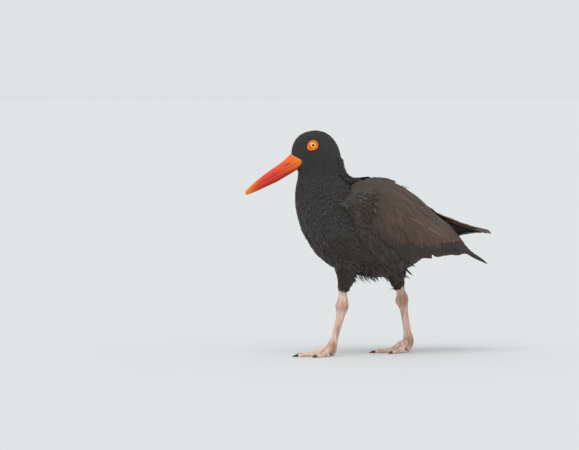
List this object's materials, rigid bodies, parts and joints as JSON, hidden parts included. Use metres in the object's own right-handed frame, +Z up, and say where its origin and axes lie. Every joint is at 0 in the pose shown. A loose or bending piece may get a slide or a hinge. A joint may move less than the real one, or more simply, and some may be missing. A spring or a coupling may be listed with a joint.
{
  "type": "standing shorebird model",
  "caption": "Life-size still model of a black oystercatcher in mid-stride, with long orange bill, folded wings and flesh-pink legs.",
  "frame": {"origin": "middle of the bird's bounding box seen from above, at floor level", "axes": "+Z up from the floor; the bird faces -X; its left side is towards -Y"},
  "size_m": [0.329, 0.1224, 0.2927],
  "materials": {
    "hood": "matt slate-black feathers of head, neck and breast",
    "body": "matt brown-black feathers of belly, thighs, rump and tail",
    "wing": "satin brown flight feathers and coverts with paler edges",
    "bill": "satin orange-red horn",
    "iris": "wet bright yellow",
    "eye_ring": "satin orange-red bare skin",
    "leg_skin": "satin pale flesh-pink scaled skin",
    "claw": "satin dark horn"
  },
  "bodies": {
    "root": {"eye_left": "iris", "eye_ring_left": "eye_ring", "eye_right": "iris", "eye_ring_right": "eye_ring", "bill_upper": "bill", "bill_lower": "bill", "head": "hood", "neck": "hood", "torso": "body", "tail": "body", "wing_left": "wing", "thigh_left": "body", "shank_left": "leg_skin", "tarsus_left": "leg_skin", "toe_inner_left": "leg_skin", "claw_inner_left": "claw", "toe_middle_left": "leg_skin", "claw_middle_left": "claw", "toe_outer_left": "leg_skin", "claw_outer_left": "claw", "wing_right": "wing", "thigh_right": "body", "shank_right": "leg_skin", "tarsus_right": "leg_skin", "toe_inner_right": "leg_skin", "claw_inner_right": "claw", "toe_middle_right": "leg_skin", "claw_middle_right": "claw", "toe_outer_right": "leg_skin", "claw_outer_right": "claw"}
  },
  "joints": []
}
